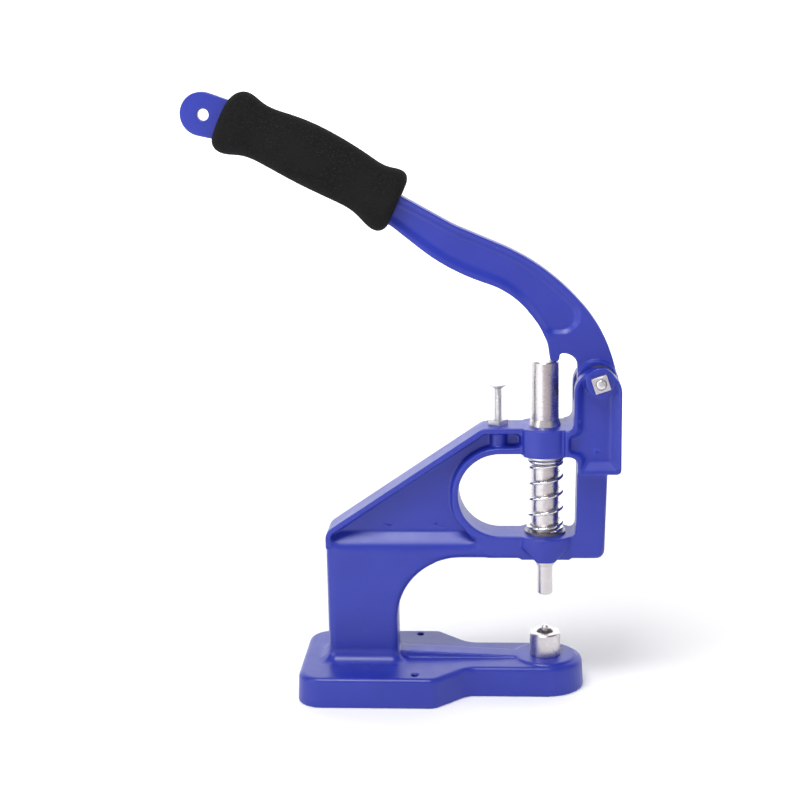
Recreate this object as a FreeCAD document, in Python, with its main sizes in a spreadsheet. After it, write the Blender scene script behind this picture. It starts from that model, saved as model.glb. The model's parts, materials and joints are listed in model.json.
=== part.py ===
import FreeCAD, Part
import math
import os
import Sketcher
from FreeCAD import Vector

# Bench hand press that sets snaps and eyelets: a C-shaped casting on a flat foot, a cranked lever,
# a spring-returned ram with a punch, and a die on the foot.
# Millimetres. X runs along the foot towards the ram, Y to the back, Z up.
# The origin lies on the ram's axis, on the ground.

SIZES = {
    # foot
    "foot_height": 17.6,
    "foot_left": -146.0,
    "foot_half_wide": 41.2,
    "foot_half_narrow": 22.4,
    "foot_right": 22.8,
    "foot_wide_end": -64.5,
    "foot_narrow_start": -45.6,
    "foot_corner": 15.0,
    "foot_wide_bend": 8.0,
    "foot_narrow_bend": 12.0,
    "foot_draft": 3.0,
    "foot_edge": 3.0,
    "bench_hole_x": -76.6,
    "bench_hole_y": 32.8,
    "bench_hole_size": 4.2,
    "foot_rib_half": 6.0,
    "foot_rib_length": 70.0,
    "foot_rib_high": 4.6,
    "foot_rib_low": 1.3,
    # column and arms
    "web_half": 11.5,
    "column_left": -129.2,
    "column_right": -87.6,
    "column_edge": 3.5,
    "column_fillet": 7.5,
    "shoulder_z": 97.3,
    "slope_top_x": -36.0,
    "arm_top": 160.0,
    "throat_top": 81.2,
    "throat_corner": 38.0,
    "window_low": 95.1,
    "window_high": 144.7,
    "window_left": -50.7,
    "window_right": 18.5,
    "post_right_top": 36.8,
    "post_right_low": 34.3,
    "top_rail": 3.1,
    "back_rail": 3.9,
    "recess_floor": 4.0,
    "recess_left": -125.8,
    "recess_right": -13.7,
    "recess_low_face": 88.2,
    "recess_low_floor": 96.5,
    "recess_toe_face": -37.5,
    "recess_toe_floor": -44.0,
    "recess_draft": 0.8,
    "ring_width": 3.5,
    "ring_foot": 107.5,
    # bosses that guide the ram
    "boss_round": 18.5,
    "upper_boss_half": 12.7,
    "upper_boss_low": 143.4,
    "lower_boss_half": 14.5,
    "lower_boss_side": 89.5,
    "lower_boss_low": 80.8,
    "lower_boss_tip": 4.8,
    "guide_bore": 16.08,
    "guide_ring_size": 18.6,
    "guide_ring_top": 16.7,
    "guide_ring_height": 3.6,
    # yoke
    "yoke_half": 19.0,
    "yoke_left": 16.3,
    "yoke_right": 43.2,
    "yoke_top": 195.4,
    "yoke_low": 134.4,
    "yoke_inner_left": 11.0,
    "yoke_floor": 4.6,
    "dish_neck_bend": 5.0,
    "dish_end_bend": 2.6,
    "slot_half": 7.6,
    "slot_floor": 173.4,
    "yoke_fillet": 3.5,
    # pivot
    "pivot_x": 31.0,
    "pivot_z": 188.2,
    "pivot_size": 6.0,
    "bolt_play": 0.2,
    "pivot_boss": 8.6,
    "pivot_boss_face": 19.5,
    "bolt_end": 24.6,
    "bolt_head_flats": 10.0,
    "bolt_head_height": 4.0,
    "pivot_washer_thick": 1.4,
    "pivot_washer_size": 12.4,
    "pivot_nut_flats": 9.0,
    "pivot_nut_thick": 4.0,
    "pivot_nut_turn": 18.0,
    # lever
    "lever_half": 5.0,
    "hub_half": 7.0,
    "hub_round": 11.4,
    "hub_x": 29.6,
    "tab_half": 2.6,
    "tab_x": -192.0,
    "tab_z": 340.4,
    "tab_round": 12.4,
    "tab_hole": 6.7,
    "lever_recess": 2.4,
    "lever_recess_wall": 3.3,
    "bar_low_x": -187.0,
    "bar_low_z": 326.8,
    "bar_low_fall": 0.5,
    "bar_top_x": -177.3,
    "bar_top_z": 348.4,
    "bar_top_fall": 0.569,
    "grip_half": 14.0,
    "grip_edge": 3.9,
    "bush_size": 9.0,
    "shim_size": 16.0,
    # ram train
    "ram_size": 16.0,
    "ram_top": 197.8,
    "ram_low": 82.0,
    "circlip_low": 142.1,
    "circlip_thick": 1.0,
    "circlip_size": 20.6,
    "ram_groove": 15.0,
    "spring_washer_thick": 1.5,
    "spring_washer_size": 21.8,
    "wire_size": 1.9,
    "coil_size": 21.6,
    "coil_pitch": 9.4,
    "seat_washer_size": 24.0,
    "seat_washer_thick": 1.2,
    "punch_collar": 10.9,
    "punch_collar_low": 74.8,
    "punch_size": 8.9,
    "punch_low": 57.1,
    "punch_shank": 8.0,
    "punch_shank_length": 12.0,
    "punch_bore": 4.8,
    "punch_bore_deep": 6.0,
    "tool_edge": 0.4,
    # die
    "die_size": 18.4,
    "die_top": 32.8,
    "die_cup": 9.6,
    "die_cup_deep": 4.0,
    "die_shank": 10.0,
    "die_shank_low": 5.0,
    "die_pin_size": 4.2,
    "die_pin_top": 36.6,
    "die_disc": 18.3,
    "die_disc_height": 1.3,
    # lever stop
    "stop_x": -27.1,
    "stop_top": 184.0,
    "stop_length": 35.0,
    "stop_thread": 5.0,
    "stop_head": 10.4,
    "stop_rim": 0.4,
    "stop_cone": 1.9,
    "stop_nut_flats": 8.4,
    "stop_nut_thick": 3.2,
    "stop_nut_turn": 50.0,
    "stop_boss": 4.8,
    "stop_boss_out": 3.6,
    # play of the parts that are pushed or screwed together
    "push_fit": 0.06,
}

doc = FreeCAD.newDocument("hand_press")
sheet = doc.addObject("Spreadsheet::Sheet", "Sizes")
for row, (alias, value) in enumerate(SIZES.items(), start=1):
    sheet.set("A%d" % row, alias)
    sheet.set("B%d" % row, str(value))
    sheet.setAlias("B%d" % row, alias)
doc.recompute()


def expand(text):
    """Write an expression with bare aliases as one that names the sheet."""
    words = sorted(SIZES, key=len, reverse=True)
    out = ""
    at = 0
    while at < len(text):
        word = next((w for w in words if text.startswith(w, at)), None)
        if word:
            out += "Sizes." + word
            at += len(word)
        else:
            out += text[at]
            at += 1
    return out


def value_of(text):
    return float(sheet.evalExpression(expand(str(text))))


def bind(obj, prop, text):
    """Bind a property to the sheet, or to a formula of its cells."""
    obj.setExpression(prop, expand(str(text)))


def new_body(label):
    body = doc.addObject("PartDesign::Body", "Body_" + label)
    body.Label = label
    return body


def new_sketch(body, role, offset=None):
    """A sketch on one of the body's origin planes, moved along the plane's normal by offset."""
    sketch = body.newObject("Sketcher::SketchObject", "Sketch")
    plane = next(f for f in body.Origin.OriginFeatures if f.Role == role)
    sketch.AttachmentSupport = [(plane, "")]
    sketch.MapMode = "FlatFace"
    if offset is not None:
        bind(sketch, "AttachmentOffset.Base.z", offset)
    return sketch


def dimension(sketch, kind, refs, text):
    """A driving dimension in a sketch, bound to the sheet."""
    index = sketch.addConstraint(Sketcher.Constraint(kind, *refs, value_of(text)))
    bind(sketch, "Constraints[%d]" % index, text)


def place_point(sketch, geo, pos, u, v):
    """Fix a point of the sketch at u, v from its origin."""
    dimension(sketch, "DistanceX", (-1, 1, geo, pos), u)
    dimension(sketch, "DistanceY", (-1, 1, geo, pos), v)


def corner_arc(spot, before, after, radius, left_turn):
    """The arc that rounds a corner, from the tangent point before it to the one after it."""
    inward = ((before - spot).normalize() + (after - spot).normalize()).normalize()
    half = (before - spot).getAngle(inward)
    centre = spot + inward * (radius / math.sin(half))
    first, last = (before, after) if left_turn else (after, before)
    begin = math.atan2(first.y - centre.y, first.x - centre.x)
    end = math.atan2(last.y - centre.y, last.x - centre.x)
    if end < begin:
        end += 2 * math.pi
    return Part.ArcOfCircle(Part.Circle(centre, Vector(0, 0, 1), radius), begin, end)


def add_outline(sketch, corners):
    """A closed outline of straight sides. Each corner is (u, v) or (u, v, radius)."""
    spots = [Vector(value_of(c[0]), value_of(c[1]), 0) for c in corners]
    radii = [value_of(c[2]) if len(c) > 2 else 0.0 for c in corners]
    count = len(corners)
    starts = []
    ends = []
    for i, spot in enumerate(spots):
        back = (spots[i - 1] - spot).normalize()
        ahead = (spots[(i + 1) % count] - spot).normalize()
        half = back.getAngle(ahead) / 2
        reach = radii[i] / math.tan(half) if radii[i] else 0.0
        ends.append(spot + back * reach)
        starts.append(spot + ahead * reach)
    sides = []
    for i in range(count):
        side = Part.LineSegment(starts[i], ends[(i + 1) % count])
        sides.append(sketch.addGeometry(side, False))
    for i, spot in enumerate(spots):
        before = sides[i - 1]
        after = sides[i]
        if not radii[i]:
            sketch.addConstraint(Sketcher.Constraint("Coincident", before, 2, after, 1))
            place_point(sketch, after, 1, corners[i][0], corners[i][1])
            continue
        left_turn = (spot - ends[i]).cross(starts[i] - spot).z > 0
        first, last = (1, 2) if left_turn else (2, 1)
        arc = sketch.addGeometry(corner_arc(spot, ends[i], starts[i], radii[i], left_turn), False)
        corner = sketch.addGeometry(Part.Point(spot), True)
        sketch.addConstraint(Sketcher.Constraint("Tangent", before, 2, arc, first))
        sketch.addConstraint(Sketcher.Constraint("Tangent", after, 1, arc, last))
        sketch.addConstraint(Sketcher.Constraint("PointOnObject", corner, 1, before))
        sketch.addConstraint(Sketcher.Constraint("PointOnObject", corner, 1, after))
        place_point(sketch, corner, 1, corners[i][0], corners[i][1])
        dimension(sketch, "Radius", (arc,), corners[i][2])
    return sketch


def add_circle(sketch, u, v, size):
    circle = sketch.addGeometry(Part.Circle(Vector(value_of(u), value_of(v), 0), Vector(0, 0, 1),
                                            value_of(size) / 2), False)
    place_point(sketch, circle, 3, u, v)
    dimension(sketch, "Diameter", (circle,), size)
    return sketch


def add_round_band(sketch, radius, half):
    """A circle about the origin with its left and right sides cut off straight at +-half."""
    size = value_of(radius)
    side = value_of(half)
    reach = math.sqrt(size ** 2 - side ** 2)
    front = [Vector(-side, -reach, 0), Vector(0, -size, 0), Vector(side, -reach, 0)]
    back = [Vector(side, reach, 0), Vector(0, size, 0), Vector(-side, reach, 0)]
    low = sketch.addGeometry(Part.Arc(*front), False)
    right = sketch.addGeometry(Part.LineSegment(front[2], back[0]), False)
    high = sketch.addGeometry(Part.Arc(*back), False)
    left = sketch.addGeometry(Part.LineSegment(back[2], front[0]), False)
    for a, pa, b, pb in ((low, 2, right, 1), (right, 2, high, 1), (high, 2, left, 1), (left, 2, low, 1)):
        sketch.addConstraint(Sketcher.Constraint("Coincident", a, pa, b, pb))
    sketch.addConstraint(Sketcher.Constraint("Coincident", low, 3, -1, 1))
    sketch.addConstraint(Sketcher.Constraint("Coincident", high, 3, -1, 1))
    sketch.addConstraint(Sketcher.Constraint("Vertical", right))
    sketch.addConstraint(Sketcher.Constraint("Vertical", left))
    dimension(sketch, "Radius", (low,), radius)
    dimension(sketch, "DistanceX", (-1, 1, right, 1), half)
    dimension(sketch, "DistanceX", (left, 1, -1, 1), half)
    return sketch


def add_pad(body, sketch, length, both_ways=False, taper=None):
    pad = body.newObject("PartDesign::Pad", "Pad")
    pad.Profile = sketch
    pad.SideType = "Symmetric" if both_ways else "One side"
    bind(pad, "Length", length)
    if taper is not None:
        bind(pad, "TaperAngle", taper)
    doc.recompute()
    return pad


def add_pocket(body, sketch, length, both_ways=False, reverse=False):
    """Cut a sketch out of the body, and stop if it removed nothing."""
    before = body.Shape.Volume
    pocket = body.newObject("PartDesign::Pocket", "Pocket")
    pocket.Profile = sketch
    pocket.SideType = "Symmetric" if both_ways else "One side"
    pocket.Reversed = reverse
    bind(pocket, "Length", length)
    doc.recompute()
    if body.Shape.Volume > before - 0.01:
        raise RuntimeError("%s: a pocket cut nothing" % body.Label)
    return pocket


def add_cut_loft(body, outer, inner):
    """Cut the solid that runs straight from one sketch to the other."""
    before = body.Shape.Volume
    loft = body.newObject("PartDesign::SubtractiveLoft", "Loft")
    loft.Profile = outer
    loft.Sections = [inner]
    loft.Ruled = True
    doc.recompute()
    if body.Shape.Volume > before - 0.01:
        raise RuntimeError("%s: a loft cut nothing" % body.Label)
    return loft


def add_revolution(body, corners):
    """Turn an outline of (radius, height) corners about Z."""
    sketch = add_outline(new_sketch(body, "XZ_Plane"), corners)
    turned = body.newObject("PartDesign::Revolution", "Revolution")
    turned.Profile = sketch
    turned.ReferenceAxis = (sketch, ["V_Axis"])
    turned.Angle = 360
    doc.recompute()
    return turned


def edges_where(shape, test):
    """Names of the shape's edges whose middle point and edge pass the test."""
    names = []
    for i, edge in enumerate(shape.Edges, start=1):
        middle = edge.valueAt((edge.FirstParameter + edge.LastParameter) / 2)
        if test(edge, middle):
            names.append("Edge%d" % i)
    return names


def add_dress(body, kind, size, test):
    """A fillet or chamfer on the edges that pass the test."""
    base = body.Tip
    names = edges_where(base.Shape, test)
    if not names:
        raise RuntimeError("%s: no edges found for a %s" % (body.Label, kind))
    dress = body.newObject("PartDesign::" + kind, kind)
    dress.Base = (base, names)
    bind(dress, "Radius" if kind == "Fillet" else "Size", size)
    doc.recompute()
    return dress


def near(a, b, slack=0.05):
    return abs(a - b) < slack


def front_and_back(position):
    """The same distance on the front (positive along an XZ sketch's normal) and on the back."""
    return ((position, False), ("-(%s)" % position, True))


def add_foot(body):
    narrow = "foot_half_narrow"
    wide = "foot_half_wide"
    plan = add_outline(new_sketch(body, "XY_Plane"), [
        ("foot_left", "-" + wide, "foot_corner"),
        ("foot_wide_end", "-" + wide, "foot_wide_bend"),
        ("foot_narrow_start", "-" + narrow, "foot_narrow_bend"),
        ("foot_right", "-" + narrow, narrow + " - 0.1"),
        ("foot_right", narrow, narrow + " - 0.1"),
        ("foot_narrow_start", narrow, "foot_narrow_bend"),
        ("foot_wide_end", wide, "foot_wide_bend"),
        ("foot_left", wide, "foot_corner"),
    ])
    add_pad(body, plan, "foot_height", taper="-foot_draft")
    top = value_of("foot_height")
    add_dress(body, "Fillet", "foot_edge", lambda edge, mid: near(edge.BoundBox.ZMin, top))


def add_web(body):
    """Column, sloping back, both arms and the post, as one plate standing on the foot."""
    half = "web_half"
    side = add_outline(new_sketch(body, "XZ_Plane"), [
        ("column_left", 10),
        ("column_right", 10),
        ("column_right", "throat_top", "throat_corner"),
        ("post_right_low", "throat_top", 5),
        ("post_right_top", "arm_top"),
        ("slope_top_x", "arm_top", 10),
        ("column_left", "shoulder_z", 8),
    ])
    add_pad(body, side, "2 * " + half, both_ways=True)


def round_column(body):
    """Round the back edges of the column below the shoulder, the throat's edges and the foot joint."""
    edge = "(column_edge + 1)"
    left = "column_left"
    plan = new_sketch(body, "XY_Plane", "foot_height")
    for sign in ("-", ""):
        bend = sign + "(web_half - %s)" % edge
        rim = sign + "web_half"
        out = sign + "(web_half + 1)"
        add_outline(plan, [
            (left + " - 1", out),
            (left + " - 1", bend),
            (left, bend),
            (left + " + %s * 0.29" % edge, sign + "(web_half - %s * 0.29)" % edge),
            (left + " + " + edge, rim),
            (left + " + " + edge, out),
        ])
    add_pocket(body, plan, "recess_low_face - 1 - foot_height", reverse=True)
    half = value_of("web_half")
    low = value_of("foot_height") + 0.5
    right = value_of("column_right")
    high = value_of("throat_top")

    def on_throat(edge, mid):
        return near(abs(mid.y), half) and mid.z > low and near(mid.x, right) and mid.z < high

    add_dress(body, "Fillet", "column_edge", on_throat)
    foot_top = value_of("foot_height")
    limit = value_of("column_left") - 1

    def at_foot(edge, mid):
        box = edge.BoundBox
        inside = abs(mid.y) < half + 1 and limit < mid.x < right + 1
        return near(box.ZMin, foot_top) and near(box.ZMax, foot_top) and inside

    add_dress(body, "Fillet", "column_fillet", at_foot)


def add_yoke(body):
    """The block that becomes both ears, wider than the arm."""
    side = add_outline(new_sketch(body, "XZ_Plane"), [
        ("yoke_inner_left", "yoke_low"),
        ("yoke_right", "yoke_low", 2.5),
        ("yoke_right", "yoke_top", "(yoke_right - yoke_left) / 2 - 0.05"),
        ("yoke_left", "yoke_top", "(yoke_right - yoke_left) / 2 - 0.05"),
        ("yoke_left", "arm_top", 4.5),
        ("yoke_inner_left", "arm_top"),
    ])
    add_pad(body, side, "2 * yoke_half", both_ways=True)


def cut_window(body):
    """The oval window between the arms, which the ram and its spring cross."""
    round_end = "(window_high - window_low) / 2 - 0.1"
    side = add_outline(new_sketch(body, "XZ_Plane"), [
        ("window_left", "window_low", round_end),
        ("window_right - 0.8", "window_low", 3.5),
        ("window_right", "window_high", 5),
        ("window_left", "window_high", round_end),
    ])
    add_pocket(body, side, "3 * yoke_half", both_ways=True)


def add_ram_bosses(body):
    upper = add_round_band(new_sketch(body, "XY_Plane", "upper_boss_low"), "boss_round", "upper_boss_half")
    add_pad(body, upper, "arm_top - upper_boss_low")
    lower = add_round_band(new_sketch(body, "XY_Plane", "lower_boss_low"), "boss_round", "lower_boss_half")
    add_pad(body, lower, "window_low - lower_boss_low")
    for offset, reverse in front_and_back("boss_round + 0.1"):
        taper = new_sketch(body, "XZ_Plane", offset)
        for sign in ("-", ""):
            add_outline(taper, [
                (sign + "(lower_boss_half + 1)", "lower_boss_side"),
                (sign + "lower_boss_half", "lower_boss_side"),
                (sign + "lower_boss_tip", "lower_boss_low"),
                (sign + "lower_boss_tip", "lower_boss_low - 2"),
                (sign + "(lower_boss_half + 1)", "lower_boss_low - 2"),
            ])
        add_pocket(body, taper, "boss_round + 0.1 - web_half", reverse=reverse)


def web_recess(sketch, grow, low, toe):
    """Outline of the hollow in the web at one depth. grow is how far its walls have closed in."""
    rise = "(arm_top - shoulder_z) / (slope_top_x - column_left)"
    back = "recess_left + " + grow
    back_top = "shoulder_z + (recess_left - column_left) * %s - back_rail - %s" % (rise, grow)
    roof = "arm_top - top_rail - " + grow
    roof_start = "slope_top_x + (back_rail - top_rail) / (%s)" % rise
    right = "recess_right - " + grow
    ring_bend = "(window_high - window_low) / 2 + ring_width + " + grow
    ring_left = "window_left - ring_width - " + grow
    ring_top = "window_high + ring_width + " + grow
    return add_outline(sketch, [
        (back, low),
        (toe, low),
        (ring_left, "ring_foot", 20),
        (ring_left, ring_top, ring_bend),
        (right, ring_top, 3),
        (right, roof, 3),
        (roof_start, roof, 2),
        (back, back_top, 2),
    ])


def cut_web_recesses(body):
    for side in ("", "-"):
        outer = new_sketch(body, "XZ_Plane", side + "web_half")
        inner = new_sketch(body, "XZ_Plane", side + "recess_floor")
        web_recess(outer, "0", "recess_low_face", "recess_toe_face")
        web_recess(inner, "recess_draft", "recess_low_floor", "recess_toe_floor")
        add_cut_loft(body, outer, inner)
    for side in ("", "-"):
        plan = new_sketch(body, "XY_Plane", "window_high + 1")
        post = add_circle(plan, "stop_x", side + "stop_boss_out", "2 * stop_boss")
        add_pad(body, post, "arm_top - window_high - 2")


def yoke_dish(sketch, rims, bend):
    """Outline of the dish in an ear's outer face at one depth. rims are what it leaves of the face."""
    right = "yoke_right - %s" % rims["right"]
    low = "yoke_low + %s" % rims["low"]
    high = "yoke_top - %s" % rims["high"]
    left = "yoke_left + %s" % rims["left"]
    roof = "arm_top - %s" % rims["roof"]
    beside_boss = "upper_boss_half + %s" % rims["boss"]
    step = "window_right + %s" % rims["step"]
    return add_outline(sketch, [
        (step, low),
        (right, low, 1.2),
        (right, high, bend),
        (left, high, bend),
        (left, roof, "dish_neck_bend"),
        (beside_boss, roof, "dish_end_bend"),
        (beside_boss, "window_high + 2.2", "dish_end_bend"),
        (step, "window_high + 2.2", "dish_neck_bend"),
    ])


def cut_yoke(body):
    """Dish both ears, add the pivot bosses, and cut the slot for the lever and the pivot's bore."""
    at_face = {"right": 1.1, "low": 1.6, "high": 1.2, "left": 1.5, "roof": 1.8, "boss": 0.4, "step": 1.6}
    at_floor = {"right": 6.5, "low": 7.8, "high": 5.6, "left": 5.6, "roof": 4.2, "boss": 1.8, "step": 5.0}
    for side in ("", "-"):
        outer = new_sketch(body, "XZ_Plane", side + "(yoke_half + 0.01)")
        inner = new_sketch(body, "XZ_Plane", side + "(yoke_half - yoke_floor)")
        yoke_dish(outer, at_face, 11)
        yoke_dish(inner, at_floor, 7.2)
        add_cut_loft(body, outer, inner)
    boss_root = "yoke_half - yoke_floor - 0.5"
    for offset, reverse in front_and_back(boss_root):
        boss = add_circle(new_sketch(body, "XZ_Plane", offset), "pivot_x", "pivot_z", "2 * pivot_boss")
        pad = add_pad(body, boss, "pivot_boss_face - (%s)" % boss_root)
        pad.Reversed = reverse
        doc.recompute()
    slot = add_outline(new_sketch(body, "XZ_Plane"), [
        ("yoke_left - 4", "slot_floor"),
        ("yoke_right + 4", "slot_floor"),
        ("yoke_right + 4", "yoke_top + 6"),
        ("yoke_left - 4", "yoke_top + 6"),
    ])
    add_pocket(body, slot, "2 * slot_half", both_ways=True)
    bore = add_circle(new_sketch(body, "XZ_Plane"), "pivot_x", "pivot_z", "pivot_size + bolt_play")
    add_pocket(body, bore, "3 * yoke_half", both_ways=True)
    half = value_of("web_half")
    low = value_of("yoke_low")

    def under_yoke(edge, mid):
        box = edge.BoundBox
        return near(abs(mid.y), half) and near(box.ZMin, low) and near(box.ZMax, low)

    add_dress(body, "Fillet", "yoke_fillet", under_yoke)


def add_die_seat(body):
    """The stiffening rib along the foot and the disc that the die stands on."""
    root = "foot_height - 6"
    start = "column_right - 4"
    end = "column_right + foot_rib_length"
    rib = add_outline(new_sketch(body, "XZ_Plane"), [
        (start, root),
        (end, root),
        (end, "foot_height + foot_rib_low"),
        (start, "foot_height + foot_rib_high"),
    ])
    add_pad(body, rib, "2 * foot_rib_half", both_ways=True)
    disc = add_circle(new_sketch(body, "XY_Plane", root), 0, 0, "2 * die_disc")
    add_pad(body, disc, "6 + die_disc_height")


def drill_frame(body):
    """Bore the ram's guide, the die's seat, the stop screw's thread and the bench holes."""
    guide = add_circle(new_sketch(body, "XY_Plane", "arm_top + 1"), 0, 0, "guide_bore")
    add_pocket(body, guide, "arm_top + 2 - lower_boss_low")
    seat = add_circle(new_sketch(body, "XY_Plane", "foot_height + 10"), 0, 0, "die_shank + push_fit")
    add_pocket(body, seat, "foot_height + 10 - die_shank_low + 0.5")
    stop = add_circle(new_sketch(body, "XY_Plane", "arm_top + 1"), "stop_x", 0, "stop_thread + push_fit")
    add_pocket(body, stop, "arm_top - window_high + 6")
    bench = new_sketch(body, "XY_Plane", "foot_height + 1")
    for sign in ("-", ""):
        add_circle(bench, "bench_hole_x", sign + "bench_hole_y", "bench_hole_size")
    add_pocket(body, bench, "foot_height + 5")


def frame_casting():
    """One iron casting: foot, column, C-shaped arms, guide bosses and the yoke for the lever."""
    body = new_body("frame_casting")
    add_foot(body)
    add_web(body)
    round_column(body)
    add_yoke(body)
    cut_window(body)
    add_ram_bosses(body)
    cut_web_recesses(body)
    cut_yoke(body)
    add_die_seat(body)
    drill_frame(body)
    return body


def lever_bar(at, top):
    """Height of the straight part of the lever, inside the grip, at one X: its top or bottom edge."""
    if top:
        return "bar_top_z - (%s - bar_top_x) * bar_top_fall" % at
    return "bar_low_z - (%s - bar_low_x) * bar_low_fall" % at


def lever_outline():
    """Side view of the lever: along the underside to the nose, round the hub and back along the top."""
    underside = [
        ("tab_x - 16.6", "tab_z - 8.8", "tab_round"),
        ("bar_low_x", "bar_low_z", 4),
        (-87.2, lever_bar("-87.2", False), 14),
        (-55.2, 251.0, 120),
        (-18.1, 238.0, 50),
        (-3.3, 219.0, 40),
        (1.4, 208.6, 12),
    ]
    nose = [
        (3.0, "ram_top", 2.6),
        (8.1, "ram_top", 2.4),
        (8.4, "ram_top + 4.8", 1.2),
        (18.5, "ram_top + 4.8", 7.6),
        (18.5, "pivot_z - 2"),
    ]
    hub = [
        ("hub_x", "pivot_z - 4"),
        (41.4, "pivot_z"),
    ]
    top = [
        (34.2, 217.0, 86),
        (-0.9, 255.0, 125),
        (-51.5, lever_bar("-51.5", True), 60),
        ("bar_top_x", "bar_top_z", 12),
        ("tab_x - 8.9", "tab_z + 16.6", "tab_round"),
    ]
    return underside + nose + hub + top


def lever():
    """Cranked cast lever: end tab, straight bar, curved arm, hub in the yoke and a nose on the ram."""
    body = new_body("lever")
    side = add_outline(new_sketch(body, "XZ_Plane"), lever_outline())
    add_pad(body, side, "2 * lever_half", both_ways=True)
    hub = add_circle(new_sketch(body, "XZ_Plane"), "hub_x", "pivot_z - 0.6", "2 * hub_round")
    add_pad(body, hub, "2 * hub_half", both_ways=True)
    for sign in ("", "-"):
        outer = new_sketch(body, "XZ_Plane", sign + "(lever_half + 0.01)")
        inner = new_sketch(body, "XZ_Plane", sign + "(lever_half - lever_recess)")
        add_outline(outer, lever_recess())
        add_outline(inner, inset_outline(lever_recess(), SIZES["lever_recess_wall"]))
        add_cut_loft(body, outer, inner)
    for offset, reverse in front_and_back("lever_half + 0.1"):
        around_tab = add_outline(new_sketch(body, "XZ_Plane", offset), [
            ("tab_x - 40", "tab_z - 20"),
            ("tab_x - 1", "tab_z - 40"),
            ("tab_x + 20", "tab_z"),
            ("tab_x + 10", "tab_z + 30"),
            ("tab_x - 40", "tab_z + 30"),
        ])
        add_pocket(body, around_tab, "lever_half + 0.1 - tab_half", reverse=reverse)
    holes = add_circle(new_sketch(body, "XZ_Plane"), "tab_x", "tab_z", "tab_hole")
    add_circle(holes, "pivot_x", "pivot_z", "bush_size")
    add_pocket(body, holes, "4 * hub_half", both_ways=True)
    return body


def inset_outline(corners, inset):
    """Move the sides of a counter-clockwise outline of (u, v, radius) inwards, and fit the radii."""
    count = len(corners)
    spots = [Vector(u, v, 0) for u, v, radius in corners]
    moved = []
    for i, (u, v, radius) in enumerate(corners):
        before = (spots[i] - spots[i - 1]).normalize()
        after = (spots[(i + 1) % count] - spots[i]).normalize()
        turn = before.cross(after).z
        shift = (before - after) * (-inset / turn)
        bend = radius - math.copysign(inset, turn) if radius else 0
        moved.append((u + shift.x, v + shift.y, bend))
    return moved


def lever_recess():
    """Outline of the hollow in the lever's cheek, at the cheek's face."""
    return [
        (-93.1, 283.9, 0),
        (-54.6, 254.8, 120),
        (-17.3, 240.6, 45),
        (1.3, 213.4, 8),
        (36.5, 213.4, 11),
        (-7.9, 255.9, 110),
        (-51.5, 274.6, 60),
        (-91.0, 297.0, 0),
    ]


def ring(label, role, low, high, outer, inner, u=0, v=0):
    """A flat ring between two distances along the plane's normal."""
    body = new_body(label)
    sketch = new_sketch(body, role, low)
    add_circle(sketch, u, v, outer)
    add_circle(sketch, u, v, inner)
    add_pad(body, sketch, "(%s) - (%s)" % (high, low))
    return body


def lever_grip():
    """Foam sleeve with flared ends, shown as a plain closed solid round the lever's bar."""
    body = new_body("lever_grip")
    underside = [
        (-189.6, 317.2, 7),
        (-168.0, 317.0, 20),
        (-109.0, 285.6, 20),
        (-98.6, 272.6, 5),
        (-91.6, 273.0, 4),
    ]
    top = [
        (-74.0, 303.0, 4),
        (-77.0, 308.6, 4),
        (-91.0, 310.4, 16),
        (-137.0, 339.0, 60),
        (-155.0, 343.6, 12),
        (-166.0, 354.0, 5),
        (-174.0, 354.6, 4),
    ]
    side = add_outline(new_sketch(body, "XZ_Plane"), underside + top)
    add_pad(body, side, "2 * grip_half", both_ways=True)
    half = value_of("grip_half")
    add_dress(body, "Fillet", "grip_edge", lambda edge, mid: near(abs(mid.y), half))
    bar = add_outline(new_sketch(body, "XZ_Plane"), [
        (-200, lever_bar("-200", False)),
        (-60, lever_bar("-60", False)),
        (-60, lever_bar("-60", True)),
        (-200, lever_bar("-200", True)),
    ])
    add_pocket(body, bar, "2 * lever_half", both_ways=True)
    return body


def pivot_bolt():
    """Hexagon bolt through both ears, its head at the back."""
    body = new_body("pivot_bolt")
    seat = "pivot_boss_face + pivot_washer_thick"
    shank = add_circle(new_sketch(body, "XZ_Plane", "-(%s)" % seat), "pivot_x", "pivot_z", "pivot_size")
    add_pad(body, shank, seat + " + bolt_end")
    head = new_sketch(body, "XZ_Plane", "-(%s + bolt_head_height)" % seat)
    add_regular(head, 6, "bolt_head_flats", 0, "pivot_x", "pivot_z")
    add_pad(body, head, "bolt_head_height")
    tip = value_of("bolt_end")
    add_dress(body, "Chamfer", 0.5, lambda edge, mid: near(mid.y, -tip))
    return body


def add_regular(sketch, count, flats, turn, u=0, v=0):
    """A regular polygon with its size across flats, turned about its centre."""
    corners = []
    for i in range(count):
        angle = turn + 360.0 * (i + 0.5) / count
        reach = "(%s) / 2 / cos(%s deg)" % (flats, 180.0 / count)
        across = "%s + %s * cos(%s deg)" % (u, reach, angle)
        up = "%s + %s * sin(%s deg)" % (v, reach, angle)
        corners.append((across, up))
    return add_outline(sketch, corners)


def pivot_nut():
    """Square nut on the front ear."""
    body = new_body("pivot_nut")
    sketch = new_sketch(body, "XZ_Plane", "pivot_boss_face")
    add_regular(sketch, 4, "pivot_nut_flats", SIZES["pivot_nut_turn"], "pivot_x", "pivot_z")
    add_circle(sketch, "pivot_x", "pivot_z", "pivot_size")
    add_pad(body, sketch, "pivot_nut_thick")
    return body


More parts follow.
